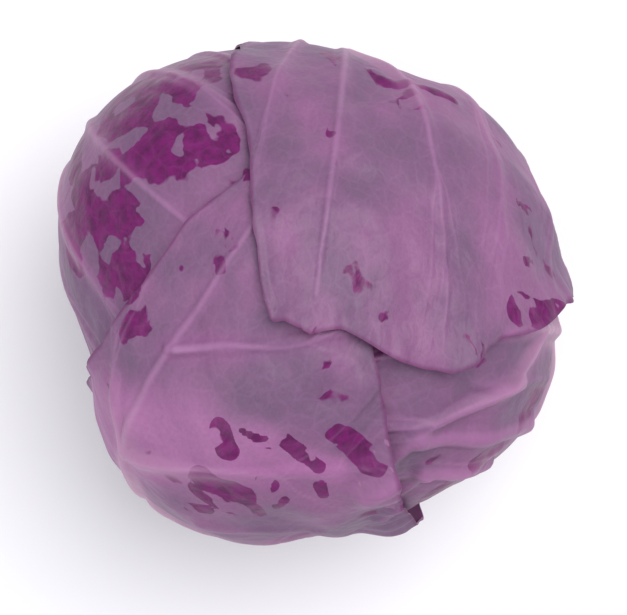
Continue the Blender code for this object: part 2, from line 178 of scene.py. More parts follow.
# %% The leaves, outermost first
# Degrees up from the stalk to a leaf's base, and to the middle it is laid out round
BASE_POLAR = 16.5
MIDDLE_POLAR = 100.0
BASE_Y = -np.radians(MIDDLE_POLAR - BASE_POLAR) * SPHERE_RADIUS

# bearing of the midrib; left, right: half widths in degrees; past_crown: how far the
# tip folds over the crown, in degrees; sweep: how far the midrib drifts sideways;
# fan: how the side ribs crowd to the base; reach: how early they reach the margin;
# bow: how far they bow; left_ribs, right_ribs: the rows they run on; ruffles: how
# strongly the margin is ruffled on either side
Leaf = namedtuple(
    "Leaf",
    "name bearing left right past_crown sweep fan reach bow left_ribs right_ribs ruffles seed",
)
EVEN_RIBS = (0.16, 0.29, 0.42, 0.55, 0.68, 0.81)
LEAVES = (
    Leaf("leaf_1", 84, 25, 80, 14, -4 * MM, 4.0, 0.6, 4 * MM,
         (0.30, 0.56), (0.30, 0.44, 0.60, 0.77), (0.35, 1.3), 1),
    Leaf("leaf_2", 243, 66, 21, 18, -28 * MM, 1.9, 1.35, -6 * MM,
         EVEN_RIBS, (0.42, 0.68), (1.8, 0.5), 2),
    Leaf("leaf_3", 352, 60, 64, 14, -4 * MM, 1.8, 0.74, 9 * MM,
         EVEN_RIBS, EVEN_RIBS, (1.0, 1.8), 3),
    Leaf("leaf_4", 134, 68, 56, 12, 16 * MM, 4.0, 0.6, 4 * MM,
         (0.34, 0.50, 0.66), (0.34, 0.50, 0.66), (1.0, 1.0), 4),
    Leaf("leaf_5", 277, 60, 60, 10, 0, 1.6, 0.78, 9 * MM,
         EVEN_RIBS, EVEN_RIBS, (1.6, 1.0), 5),
)


@functools.cache
def leaf_axes(leaf):
    """Unit vectors to a leaf's middle, towards its tip and to its anticlockwise side."""
    middle = toward(leaf.bearing, 180 - MIDDLE_POLAR)
    tipward = toward(leaf.bearing, 90 - MIDDLE_POLAR)
    return middle, tipward, toward(leaf.bearing + 90, 90)


@functools.cache
def leaf_phases(leaf):
    return np.random.default_rng(leaf.seed).uniform(0, 2 * np.pi, 6)


def tip_y(leaf):
    return np.radians(180 + leaf.past_crown - MIDDLE_POLAR) * SPHERE_RADIUS


def side_rows(leaf):
    """(side, row) of each side rib."""
    return [(1.0, row) for row in leaf.left_ribs] + [(-1.0, row) for row in leaf.right_ribs]


print("leaf lengths in mm:", [round((tip_y(leaf) - BASE_Y) / MM) for leaf in LEAVES])


# %% Lay a leaf out flat
BASE_HALF_WIDTH = 19 * MM
BASE_SAG = 3.5 * MM
TIP_HALF_WIDTH = 12 * MM
TIP_SAG = 3.0 * MM
SIDE_POWER = 0.7
TIP_POWER = 8
SAG_POWER = 6
EDGE_SCALLOP = 1.6 * MM
EDGE_NICK = 0.22 * MM
# Waves: (share, how many to a turn, which phase, phase between the two sides)
SCALLOPS = ((1.0, 5, 4, 2), (0.7, 9, 0, 1), (0.4, 14, 1, 2))
NICKS = ((1.0, 53, 2, 0), (1.0, 37, 3, 1))
STAGGER = 3 * MM
MID_EVEN = 0.2
SWEEP_SPAN = 1.6


def waves(table, around, phase, side=0.0):
    """A sum of waves over an angle, where side is 1 or -1 on either side of the midrib."""
    return sum(
        share * np.sin(count * around + phase[number] + apart * side)
        for share, count, number, apart in table
    )


def margin(leaf, q, t, nicks=0.0):
    """The margin's flat place at the end of row q, on the side of t."""
    phase = leaf_phases(leaf)
    around = np.pi * q**leaf.reach
    half = np.radians(np.where(t >= 0, leaf.left, leaf.right)) * SPHERE_RADIUS
    x = (
        (half - BASE_HALF_WIDTH / 2) * np.sin(around).clip(0) ** SIDE_POWER
        + BASE_HALF_WIDTH * np.cos(around / 2) ** 2
        + TIP_HALF_WIDTH * np.sin(around / 2) ** TIP_POWER
    )
    y = BASE_Y + (tip_y(leaf) - BASE_Y) * (1 - np.cos(around)) / 2
    y = y - BASE_SAG * (1 - q) ** SAG_POWER - TIP_SAG * q**SAG_POWER
    side = np.where(t >= 0, 1.0, -1.0)
    edge = EDGE_SCALLOP * waves(SCALLOPS, around, phase, side)
    edge = edge + nicks * waves(NICKS, around, phase, side)
    return x + edge * np.sin(around), y


def mid_share(leaf, q):
    """How far up the midrib row q starts, from 0 at the base to 1 at the tip."""
    return MID_EVEN * q + (1 - MID_EVEN) * q**leaf.fan


def flat_place(leaf, q, t, nicks=0.0):
    """Flat places (x, y) for rows q and shares t, in metres from the leaf's middle."""
    q, t = np.broadcast_arrays(np.asarray(q, float), np.asarray(t, float))
    share, side = np.abs(t), np.sign(t)
    end_x, end_y = margin(leaf, q, t, nicks)
    mid_y = BASE_Y + (tip_y(leaf) - BASE_Y) * mid_share(leaf, q)
    arch = 4 * share * (1 - share) * np.sin(np.pi * q)
    y = mid_y + (end_y - mid_y) * share + arch * (side * STAGGER - leaf.bow)
    swept = leaf.sweep * smooth((y - BASE_Y) / -BASE_Y / SWEEP_SPAN)
    return np.stack([side * share * end_x + swept, y], -1)


# %% Wrap it round the head, and back
def wrap(leaf, flat):
    """Unit vectors from the head's middle to flat places."""
    middle, tipward, side = leaf_axes(leaf)
    reach = np.linalg.norm(flat, axis=-1)
    heading = flat[..., :1] * side + flat[..., 1:] * tipward
    heading = heading / np.maximum(reach, TINY)[..., None]
    angle = (reach / SPHERE_RADIUS)[..., None]
    return np.cos(angle) * middle + np.sin(angle) * heading


def unwrap(leaf, d):
    """Flat places of unit vectors d."""
    middle, tipward, side = leaf_axes(leaf)
    along = np.stack([d @ side, d @ tipward], -1)
    across = np.linalg.norm(along, axis=-1)
    angle = np.arctan2(across, d @ middle)
    return along * (angle * SPHERE_RADIUS / np.maximum(across, TINY))[..., None]


# %% [markdown]
# To lay one leaf over another, each needs to know where the other is. `inside` gives
# the distance in from a leaf's margin, and `cover` turns it into a soft step, because
# a leaf can't fold sharply over the margin of the one below.

# %% How far inside a leaf's margin
MARGIN_SAMPLES = 60
END_SAMPLES = 9
COVER_BEYOND = 3 * MM
COVER_FALL = 12 * MM


@functools.cache
def margin_loop(leaf):
    """Flat places once round the leaf's margin."""
    q, ends = np.linspace(0, 1, MARGIN_SAMPLES), np.linspace(-1, 1, END_SAMPLES)
    left, right = flat_place(leaf, q, 1.0), flat_place(leaf, q, -1.0)
    base, tip = flat_place(leaf, 0.0, ends), flat_place(leaf, 1.0, ends[::-1])
    return np.concatenate([base[:-1], left[:-1], tip[:-1], right[:0:-1]])


def inside(leaf, d):
    """Distance of unit vectors d inside the margin, negative outside it."""
    p = unwrap(leaf, d).reshape(-1, 2)
    starts = margin_loop(leaf)
    away = np.full(len(p), np.inf)
    crossings = np.zeros(len(p), int)
    for start, run in zip(starts, np.roll(starts, -1, 0) - starts):
        away = np.minimum(away, to_segment(p, start, run)[0])
        x, y = (p - start).T
        height = run[1] if abs(run[1]) > TINY else TINY
        crossings += ((y < 0) != (y < run[1])) & (x < y * run[0] / height)
    return np.where(crossings % 2 == 1, away, -away).reshape(d.shape[:-1])


def cover(leaf, d):
    """1 under this leaf and just past its margin, falling smoothly to 0."""
    return smooth((inside(leaf, d) + COVER_BEYOND + COVER_FALL) / COVER_FALL)


# %% [markdown]
# ## Ribs
#
# The ribs are what a cabbage leaf shows first: a midrib as thick as a finger at the
# base, and side ribs that fork on their way to the margin. Each rib is a broad soft
# shoulder with a narrow crest on it. The shoulders are part of the surface rule, so
# the leaves above are pushed up by them too. The crests come later, by nodes.

# %% Where the ribs run
MIDRIB_REACH = 0.97
MIDRIB_SAMPLES = 26
LATERAL_REACH = 0.94
LATERAL_SAMPLES = 9
# Half width and height of a shoulder at its near and far ends
MIDRIB = ((7.5 * MM, 4.2 * MM), (2.0 * MM, 0.3 * MM))
LATERAL = ((3.4 * MM, 1.5 * MM), (2.2 * MM, 0.5 * MM))
TAPER_POWER = 0.7
SHOULDER_SHARE = 0.75
IMPRINT_SPREAD = 6 * MM


def tapered(ends, share):
    """Half widths and heights along a rib that runs from share 0 to share 1."""
    near, far = np.array(ends)
    return (near + (far - near) * share[:, None] ** TAPER_POWER).T


@functools.cache
def shoulder_lines(leaf):
    """(points on the sphere, half widths, heights) of the midrib and side ribs."""
    q = np.linspace(0, MIDRIB_REACH, MIDRIB_SAMPLES)
    t = np.linspace(0, LATERAL_REACH, LATERAL_SAMPLES)
    lines = [(flat_place(leaf, q, 0.0), *tapered(MIDRIB, q))]
    for side, row in side_rows(leaf):
        lines.append((flat_place(leaf, row, side * t), *tapered(LATERAL, t)))
    return [(wrap(leaf, flat) * SPHERE_RADIUS, width, height) for flat, width, height in lines]


def shoulders(leaf, d, spread=0.0):
    """Height of the rib shoulders above the blade along unit vectors d."""
    p = d.reshape(-1, 3) * SPHERE_RADIUS
    best = np.zeros(len(p))
    for points, width, height in shoulder_lines(leaf):
        for i, run in enumerate(np.diff(points, axis=0)):
            gap, along = to_segment(p, points[i], run)
            half = width[i] + (width[i + 1] - width[i]) * along + spread
            tall = height[i] + (height[i + 1] - height[i]) * along
            best = np.maximum(best, tall * mound(gap / half))
    return best.reshape(d.shape[:-1])


print("shoulder lines on a leaf:", len(shoulder_lines(LEAVES[0])))

# %% [markdown]
# ## Lay the leaves over each other
#
# A leaf's inner face lies on the heart and on every leaf further in, with a thin gap.
# Where nothing lies over its margin, the margin stands off and waves, and in places
# the whole stack is crumpled into soft folds. Adding the folds to every layer alike
# keeps the layers in order.

# %% Thickness, swelling at the base and free margins
LEAF_THICKNESS = 0.9 * MM
LEAF_GAP = 0.7 * MM
BLADE = 0.6 * MM
MARGIN_BLADE = 0.38 * MM
MARGIN_TAPER = 8 * MM
BASE_SWELL = 1.6 * MM
BASE_SWELL_LENGTH = 24 * MM
FREE_EDGE = 9 * MM
EDGE_LIFT = 1.6 * MM
EDGE_WAVE = 1.2 * MM
EDGE_RIPPLE = 0.45 * MM
EDGE_WAVES = ((1.0, 9, 2, 0), (0.7, 15, 3, 0))
RIPPLE_COUNTS = (41, 23)
SIDE_BLEND = 40 * MM
EDGE_STARTS = 30 * MM
# Where a margin turns out, or in where below 0: leaf, place, half width, height
FLARES = (
    ("leaf_1", (354, 74), 13 * MM, 2.4 * MM),
    ("leaf_1", (100, 86), 22 * MM, -2.5 * MM),
    ("leaf_2", (298, 90), 26 * MM, -2.5 * MM),
)
FLARE_DEPTH = 9 * MM


def swell(leaf, d):
    """The blade thickens towards the leaf's base."""
    up_from_base = unwrap(leaf, d)[..., 1] - BASE_Y
    return BASE_SWELL * np.exp(-np.maximum(up_from_base, 0) / BASE_SWELL_LENGTH)


def stack(leaf, d):
    """What a leaf adds under the leaves outside it."""
    own = LEAF_THICKNESS + LEAF_GAP + swell(leaf, d)
    return cover(leaf, d) * (own + shoulders(leaf, d, IMPRINT_SPREAD))


def edge_stand_off(leaf, d, depth):
    """A free margin stands off the head and waves. depth is the distance inside it."""
    flat, phase = unwrap(leaf, d), leaf_phases(leaf)
    left = smooth(0.5 + flat[..., 0] / SIDE_BLEND)
    ruffle = left * leaf.ruffles[0] + (1 - left) * leaf.ruffles[1]
    near_edge = 1 - smooth(depth / (FREE_EDGE * ruffle))
    around = np.arctan2(flat[..., 0], flat[..., 1])
    wave = waves(EDGE_WAVES, around, phase)
    ripple = np.prod([np.sin(n * around + phase[4 + i]) for i, n in enumerate(RIPPLE_COUNTS)], 0)
    above_base = smooth((flat[..., 1] - BASE_Y) / EDGE_STARTS)
    lift = np.maximum(EDGE_LIFT + EDGE_WAVE * wave + EDGE_RIPPLE * ripple, 0) * ruffle
    lift = near_edge * above_base * lift
    for name, place, half_width, height in FLARES:
        if name == leaf.name:
            nearby = smooth(1 - to_path(d, (place,)) / half_width)
            lift = lift + height * nearby * (1 - smooth(depth / FLARE_DEPTH))
    return np.maximum(lift, 0)


# %% Folds where the outer leaves are crumpled
# Height and half width in mm, then places (bearing, from_crown) along the fold
FOLDS = (
    (2.2, 4.6, (305, 53), (311, 57), (317, 64), (322, 70), (328, 82)),
    (1.8, 4.0, (301, 64), (309, 72), (315, 82)),
    (1.5, 4.8, (344, 52), (347, 60), (350, 71), (352, 84)),
    (1.5, 4.0, (284, 58), (290, 55), (297, 52), (305, 50)),
    (1.3, 3.6, (310, 50), (318, 53), (327, 58), (334, 64)),
    (1.1, 3.4, (287, 76), (293, 70), (300, 66)),
    (1.0, 3.2, (328, 52), (332, 60), (337, 70), (339, 80)),
    (0.8, 3.0, (73, 64), (67, 61), (60, 64), (52, 68)),
    (0.9, 4.5, (125, 66), (121, 58), (115, 47)),
    (0.8, 3.6, (246, 76), (258, 74), (272, 77)),
)


def folds(d):
    """Height of the soft folds along unit vectors d."""
    return sum(
        height * MM * mound(to_path(d, places) / (half_width * MM))
        for height, half_width, *places in FOLDS
    )


# %% A leaf's two faces
def underside(index, d, depth):
    """Radius of a leaf's inner face, for directions d that lie depth inside its margin."""
    radius = heart_radius(d) + LEAF_GAP + folds(d)
    for inner in LEAVES[index + 1 :]:
        radius = radius + stack(inner, d)
    free = np.ones(d.shape[:-1])
    for outer in LEAVES[:index]:
        free = free * (1 - cover(outer, d))
    return radius + free * edge_stand_off(LEAVES[index], d, depth)


def blade_faces(index, d):
    """Distance inside the margin, and radius of the inner and the outer face, along d."""
    leaf = LEAVES[index]
    depth = np.maximum(inside(leaf, d), 0)
    under = underside(index, d, depth)
    blade = MARGIN_BLADE + (BLADE - MARGIN_BLADE) * smooth(depth / MARGIN_TAPER)
    over = under + blade + swell(leaf, d) + SHOULDER_SHARE * shoulders(leaf, d)
    return depth, under, over


# %% Where handling has rubbed the bloom off
# Half width in mm, then places (bearing, from_crown) along the stroke
WORN_PLACES = (
    (12, (122, 70), (128, 66), (136, 64), (140, 57)),
    (8.0, (136, 54), (130, 48), (124, 44)),
    (6.5, (157, 66), (160, 58), (163, 50)),
    (7.5, (169, 66), (172, 58), (178, 50)),
    (4.5, (150, 80), (154, 72)),
    (3.4, (240, 43), (245, 47)),
    (1.2, (247, 41), (258, 42)),
    (2.0, (262, 40), (267, 44), (273, 48)),
    (3.6, (242, 57), (249, 58), (252, 59)),
    (3.0, (243, 62), (251, 64), (256, 64)),
    (1.8, (242, 70), (246, 68)),
    (1.8, (257, 52), (260, 54)),
    (1.5, (273, 54), (274, 57)),
    (1.3, (264, 58), (262, 61)),
    (3.3, (281, 40), (285, 44), (288, 50)),
    (1.7, (74, 65), (70, 60), (66, 61), (62, 64), (57, 65), (52, 68)),
    (1.6, (86, 70), (82, 63)),
    (1.6, (80, 41), (81, 37)),
    (1.5, (21, 62), (18, 65)),
    (1.2, (4, 60), (5, 58)),
    (4.0, (351, 54), (352, 62), (352, 70)),
    (4.2, (334, 77), (326, 77), (319, 75), (312, 75), (306, 76), (301, 79)),
    (1.6, (312, 71), (317, 71)),
)
# Where the bloom is rosy: light falls through the raised side of the lower left leaf
ROSY_PLACES = (
    (14, (214, 72), (223, 62), (232, 53)),
    (9.0, (232, 53), (242, 49), (254, 46)),
    (4.5, (254, 46), (263, 46), (277, 49)),
)
STROKE_SOFTNESS = 1.5


def near_strokes(d, strokes):
    """How far unit vectors d lie within the strokes, from 0 outside to 1 well inside."""
    shares = [
        smooth(STROKE_SOFTNESS - to_path(d, places) / (half_width * MM))
        for half_width, *places in strokes
    ]
    return np.max(shares, axis=0)


# %% [markdown]
# ## From the rule to a mesh
#
# Each leaf becomes one closed sheet: a fine grid for the outer face, a coarser one
# for the inner face, which is hardly seen, and a narrow rim that joins them. The
# points also store what the finish needs: how far each one is from the margin and
# from the base, how near it is to a rib or a fold, where the bloom is worn or rosy,
# and which way is out.

# %% Join two grids into a closed sheet
SHEET_ROWS = 271
SHEET_COLUMNS = 256
INNER_STEP = 3
GLOW_SPREAD = 6 * MM


def grid_quads(rows, columns, first=0, closed=False):
    """Quads of a grid of points. A closed grid's last column is joined to its first."""
    ends = columns if closed else columns - 1
    i, j = np.meshgrid(np.arange(rows - 1), np.arange(ends), indexing="ij")
    low, follow = first + i * columns, (j + 1) % columns
    high = low + columns
    return np.stack([low + j, low + follow, high + follow, high + j], -1).reshape(-1, 4)


def rim_loop(rows, columns, first=0):
    """Corner numbers once round a grid, with its outer side on the left."""
    number = first + np.arange(rows * columns).reshape(rows, columns)
    return np.concatenate(
        [number[0, :-1], number[:-1, -1], number[-1, :0:-1], number[:0:-1, 0]]
    )


def rim_faces(fine, coarse, stride):
    """Triangles from a fine rim to a coarse one that has a corner for each stride of it."""
    faces = []
    for k, low in enumerate(coarse):
        nearest = fine[(k * stride + np.arange(-(stride // 2), stride // 2 + 2)) % len(fine)]
        faces += [(b, a, low) for a, b in zip(nearest, nearest[1:-1])]
        follow = coarse[(k + 1) % len(coarse)]
        faces += [(nearest[-2], low, follow), (nearest[-1], nearest[-2], follow)]
    return faces


# %% Build the five sheets
EVEN_SAMPLES = 2001
MIDRIB_WEIGHT = 0.55
SHARP_ANGLE = np.radians(50)
# Patterns are drawn in units of 100 mm, and each leaf has its own stretch of them
PATTERN_UNIT = 100 * MM
PATTERN_SHIFT = np.array([3.7, 1.9])


def even_rows(leaf, count):
    """Row numbers whose rows are evenly far apart, taking midrib and margin together."""
    q = np.linspace(0, 1, EVEN_SAMPLES)
    spread = MIDRIB_WEIGHT * mid_share(leaf, q) + (1 - MIDRIB_WEIGHT) * q**leaf.reach
    return np.interp(np.linspace(0, 1, count), spread, q)


def store(mesh, name, values, kind="FLOAT"):
    """Puts one value for each point into a named attribute."""
    made = mesh.attributes.new(name, kind, "POINT")
    made.data.foreach_set("vector" if kind == "FLOAT_VECTOR" else "value", np.ravel(values))


def link(name, data):
    made = bpy.data.objects.new(name, data)
    bpy.context.scene.collection.objects.link(made)
    return made


def make_object(name, points, faces=(), edges=()):
    mesh = bpy.data.meshes.new(name)
    mesh.from_pydata(points, edges, faces)
    return link(name, mesh)


def leaf_sheet(index):
    """One wrapper leaf as a closed mesh with its attributes, before the crests."""
    leaf = LEAVES[index]
    coarse = np.s_[::INNER_STEP, ::INNER_STEP]
    q, t = even_rows(leaf, SHEET_ROWS), np.linspace(-1, 1, SHEET_COLUMNS)
    d = wrap(leaf, flat_place(leaf, q[:, None], t, EDGE_NICK))
    depth, under, over = blade_faces(index, d)

    def both(outer, inner):
        """Values on the fine outer grid, then those on the coarse inner one."""
        kind = outer.shape[2:]
        return np.concatenate([outer.reshape(-1, *kind), inner[coarse].reshape(-1, *kind)])

    ways = both(d, d)
    points = MIDDLE + both(over, under)[:, None] * ways
    shape, inner_shape = over.shape, over[coarse].shape
    faces = grid_quads(*shape).tolist()
    faces += grid_quads(*inner_shape, over.size)[:, ::-1].tolist()
    faces += rim_faces(rim_loop(*shape), rim_loop(*inner_shape, over.size), INNER_STEP)
    made = make_object(leaf.name + "_skin", points, faces)
    mesh, flat = made.data, unwrap(leaf, ways)
    glow = shoulders(leaf, d, GLOW_SPREAD) / LATERAL[0][1]
    store(mesh, "out", ways, "FLOAT_VECTOR")
    store(mesh, "outer_face", np.arange(len(points)) < over.size)
    store(mesh, "depth", both(depth, depth))
    store(mesh, "glow", both(glow, glow))
    store(mesh, "rib", np.zeros(len(points)))
    store(mesh, "fold", folds(ways) / MM)
    store(mesh, "worn", near_strokes(ways, WORN_PLACES))
    store(mesh, "rosy", near_strokes(ways, ROSY_PLACES))
    store(mesh, "from_base", flat[:, 1] - BASE_Y)
    places = flat / PATTERN_UNIT + PATTERN_SHIFT * index
    corners = np.zeros(len(mesh.loops), int)
    mesh.loops.foreach_get("vertex_index", corners)
    mesh.uv_layers.new(name="flat").data.foreach_set("uv", places[corners].ravel())
    mesh.shade_smooth()
    mesh.set_sharp_from_angle(angle=SHARP_ANGLE)
    print(leaf.name, "sheet:", len(points), "points,", len(faces), "faces")
    return made


sheets = [leaf_sheet(index) for index in range(len(LEAVES))]

# %% [markdown]
# ## Crests on the ribs, by Geometry Nodes
#
# The crest of a rib follows a path over a surface that already exists. One node tree
# does that for every rib: for each point of the sheet it finds the nearest place on
# the rib lines, reads how wide and how high the rib is there, and lifts the point
# outwards. It also stores how much of a rib each point is, for the colour.

# %% Paths of the crests
CREST_MIDRIB = ((6.5 * MM, 0.50 * MM), (1.1 * MM, 0.22 * MM))
CREST_LATERAL = ((1.9 * MM, 0.44 * MM), (0.75 * MM, 0.13 * MM))
CREST_FORK = ((0.95 * MM, 0.24 * MM), (0.5 * MM, 0.08 * MM))
MIDRIB_END, MIDRIB_POINTS = 0.985, 260
RIB_START, RIB_END, RIB_POINTS = 0.035, 0.965, 150
ARM_POINTS = 90
ARM_ROWS = (0.02, 0.97)
FORK_AT = 0.55
FORKS_SET = {("leaf_1", 0.56): 0.77, ("leaf_2", 0.42): 0.70}
FORK_JITTER = 0.09
FORK_OPENING = 0.15
FORK_EASE = 0.1
SECOND_FORK = 0.45
WANDER = 0.006
WANDER_WAVES = 9


def crest(leaf, rows, shares, ends):
    """(flat places, half widths, heights) along a crest."""
    return flat_place(leaf, rows, shares), *tapered(ends, np.linspace(0, 1, len(shares)))


def midrib_crests(leaf):
    q = np.linspace(0, MIDRIB_END, MIDRIB_POINTS)
    return [crest(leaf, q, np.zeros_like(q), CREST_MIDRIB)]


def side_crests(leaf):
    """The side ribs. Each parts into two arms on its way, and one arm parts again."""
    draw = np.random.default_rng(100 + leaf.seed)
    t = np.linspace(RIB_START, RIB_END, RIB_POINTS)
    made = []
    for side, row in side_rows(leaf):
        rows = row + WANDER * np.sin(WANDER_WAVES * t + draw.uniform(0, 6)) * smooth(t * 3)
        made.append(crest(leaf, rows, side * t, CREST_LATERAL))
        fork = FORK_AT + draw.uniform(-FORK_JITTER, FORK_JITTER)
        fork = FORKS_SET.get((leaf.name, row), fork)
        second = fork + SECOND_FORK * (RIB_END - fork)
        opening = FORK_OPENING * draw.uniform(0.8, 1.2)
        for start, way in ((fork, opening), (fork, -opening), (second, opening)):
            arm = np.linspace(start, RIB_END, ARM_POINTS)
            away = way * (arm - start) * smooth((arm - start) / FORK_EASE)
            branch = (np.interp(arm, t, rows) + away).clip(*ARM_ROWS)
            made.append(crest(leaf, branch, side * arm, CREST_FORK))
    return made


print("side crests on a leaf:", len(side_crests(LEAVES[0])))


# %% Lay the paths on the leaf as lines of points
def rib_object(index, crests, name):
    """A mesh of edges along the crests, with each point's half width and height."""
    flats, half_widths, heights = zip(*crests)
    d = wrap(LEAVES[index], np.concatenate(flats))
    points = MIDDLE + blade_faces(index, d)[2][:, None] * d
    owner = np.repeat(np.arange(len(crests)), [len(flat) for flat in flats])
    start = np.flatnonzero(owner[:-1] == owner[1:])
    made = make_object(name, points, edges=np.stack([start, start + 1], 1).tolist())
    store(made.data, "half_width", np.concatenate(half_widths))
    store(made.data, "height", np.concatenate(heights))
    return made


# %% [markdown]
# The trees below and the materials further on are both node trees, so the same small
# helpers build them. `put` adds a node, fills its sockets with values or links, and
# gives its outputs.

# %% Helpers for node trees
def fill(tree, node, inputs):
    """Fills a node's sockets, by name or number, with values or with other nodes' outputs."""
    for key, value in dict(inputs).items():
        if isinstance(value, bpy.types.NodeSocket):
            tree.links.new(value, node.inputs[key])
        else:
            node.inputs[key].default_value = value


def put(tree, kind, inputs=(), **settings):
    node = tree.nodes.new(kind)
    for name, value in settings.items():
        setattr(node, name, value)
    fill(tree, node, inputs)
    return node.outputs


def calc(tree, operation, *values, clamp=False):
    inputs = enumerate(values)
    return put(tree, "ShaderNodeMath", inputs, operation=operation, use_clamp=clamp)[0]


def times(tree, *values):
    return functools.reduce(functools.partial(calc, tree, "MULTIPLY"), values)


def vector(tree, operation, first, second):
    """Vector maths of two values, the second of them a number for SCALE."""
    inputs = {0: first, "Scale" if operation == "SCALE" else 1: second}
    return put(tree, "ShaderNodeVectorMath", inputs, operation=operation)[0]


def step(tree, value, low, high, to_low=0.0, to_high=1.0):
    """A smooth step from to_low to to_high as value goes from low to high."""
    names = "Value", "From Min", "From Max", "To Min", "To Max"
    inputs = zip(names, (value, low, high, to_low, to_high))
    return put(tree, "ShaderNodeMapRange", inputs, interpolation_type="SMOOTHSTEP")[0]


def new_tree(name, kind, inputs, outputs):
    """A node group with its sockets, the values given to it, and its output node."""
    tree = bpy.data.node_groups.new(name, kind)
    for side, sockets in (("INPUT", inputs), ("OUTPUT", outputs)):
        for label, socket, *value in sockets:
            made = tree.interface.new_socket(label, in_out=side, socket_type="NodeSocket" + socket)
            if value:
                made.default_value = value[0]
    return tree, tree.nodes.new("NodeGroupInput").outputs, tree.nodes.new("NodeGroupOutput")


def end_tree(tree, geometry, finish, result):
    """Ends a geometry tree: instances are made real and get their material."""
    whole = put(tree, "GeometryNodeRealizeInstances", {"Geometry": geometry})[0]
    dressed = put(tree, "GeometryNodeSetMaterial", {"Geometry": whole, "Material": finish})[0]
    fill(tree, result, {0: dressed})


# %% The tree that raises crests
def named(tree, name, kind="FLOAT"):
    outputs = put(tree, "GeometryNodeInputNamedAttribute", {"Name": name}, data_type=kind)
    return next(out for out in outputs if out.enabled and out.name == "Attribute")


def crest_tree():
    tree, given, result = new_tree(
        "raise crests",
        "GeometryNodeTree",
        (("Leaf", "Geometry"), ("Rib lines", "Object"), ("Height", "Float", 1.0),
         ("Full height", "Float", 0.0005), ("Finish", "Material")),
        (("Leaf", "Geometry"),),
    )
    lines = put(tree, "GeometryNodeObjectInfo", {"Object": given["Rib lines"]})["Geometry"]
    nearest = put(tree, "GeometryNodeProximity", {0: lines}, target_element="EDGES")
    index = put(tree, "GeometryNodeSampleNearest",
                {"Geometry": lines, "Sample Position": nearest["Position"]}, domain="POINT")[0]

    def there(name):
        inputs = {"Geometry": lines, "Value": named(tree, name), "Index": index}
        return put(tree, "GeometryNodeSampleIndex", inputs, data_type="FLOAT")[0]

    share = calc(tree, "DIVIDE", nearest["Distance"], there("half_width"), clamp=True)
    fall = calc(tree, "SUBTRACT", 1.0, times(tree, share, share))
    shown = times(tree, fall, fall, named(tree, "outer_face"))
    rise = times(tree, shown, there("height"), given["Height"])
    offset = vector(tree, "SCALE", named(tree, "out", "FLOAT_VECTOR"), rise)
    raised = put(tree, "GeometryNodeSetPosition",
                 {"Geometry": given["Leaf"], "Offset": offset})[0]
    strength = calc(tree, "DIVIDE", there("height"), given["Full height"], clamp=True)
    most = calc(tree, "MAXIMUM", named(tree, "rib"), times(tree, shown, strength))
    stored = put(tree, "GeometryNodeStoreNamedAttribute",
                 {"Geometry": raised, "Name": "rib", "Value": most},
                 data_type="FLOAT", domain="POINT")[0]
    end_tree(tree, stored, given["Finish"], result)
    return tree


CREST_TREE = crest_tree()
print("crest tree:", len(CREST_TREE.nodes), "nodes")

# %% [markdown]
# ## The finish of a red cabbage leaf
#
# The leaf is deep magenta under a pale grey-violet bloom, a wax that rubs off where
# the head was handled. Ribs have little pigment and look pale lilac, and the base of
# the leaf is nearly white. Between the ribs there is a net of fine veins with small
# soft pillows of leaf in its cells. Bloom and net are node groups that all leaves use.

# %% Colours, in linear light
DEEP = (0.145, 0.006, 0.106, 1.0)
DEEP_DARK = (0.085, 0.005, 0.066, 1.0)
HAZE = (0.155, 0.086, 0.162, 1.0)
HAZE_WARM = (0.245, 0.105, 0.222, 1.0)
# Rosy colour of light that falls through a raised leaf: painted light, used on the rosy places and
# the fold crests
ROSY_PAINTED_LIGHT = (0.345, 0.135, 0.300, 1.0)
GLOW = (0.290, 0.088, 0.250, 1.0)
RIB_LILAC = (0.350, 0.165, 0.325, 1.0)
BASE_PALE = (0.480, 0.285, 0.400, 1.0)
BASE_WHITE = (0.640, 0.480, 0.530, 1.0)
EDGE_MAGENTA = (0.115, 0.012, 0.090, 1.0)
INNER_FACE = (0.300, 0.130, 0.265, 1.0)


def paint(tree, colour, layers):
    """Lays colours over a first one, where each layer is (share, colour)."""
    for share, over in layers:
        colour = put(tree, "ShaderNodeMix", {0: share, 6: colour, 7: over}, data_type="RGBA")[2]
    return colour


# %% Patterns
def per_unit(tree, size):
    """Scale of a pattern from the size of its features in millimetres."""
    return calc(tree, "DIVIDE", PATTERN_UNIT / MM, size)


def noise(tree, place, scale, detail, rough=0.5, output=0):
    inputs = {"Vector": place, "Scale": scale, "Detail": detail, "Roughness": rough}
    return put(tree, "ShaderNodeTexNoise", inputs)[output]


def warped(tree, place, scale, amount):
    """A place shifted by a soft noise, so that borders drawn from it wander."""
    shift = noise(tree, place, scale, 2.0, output="Color")
    shift = vector(tree, "SUBTRACT", shift, (0.5, 0.5, 0.5))
    return vector(tree, "ADD", place, vector(tree, "SCALE", shift, amount))


# %% Shader group: bloom and where it is rubbed off
BROAD_WEIGHT = 1.1
RAGGED_WEIGHT = 0.45
# This keeps the weighted sum of the two noises about one half
MEAN_SHIFT = (BROAD_WEIGHT + RAGGED_WEIGHT - 1) / 2
WORN_WEIGHT = 0.46
ISLAND_SHIFT = (5.3, 2.1, 0.0)
ISLAND_EDGE = (0.575, 0.595)
ISLAND_BLOOM = 0.95


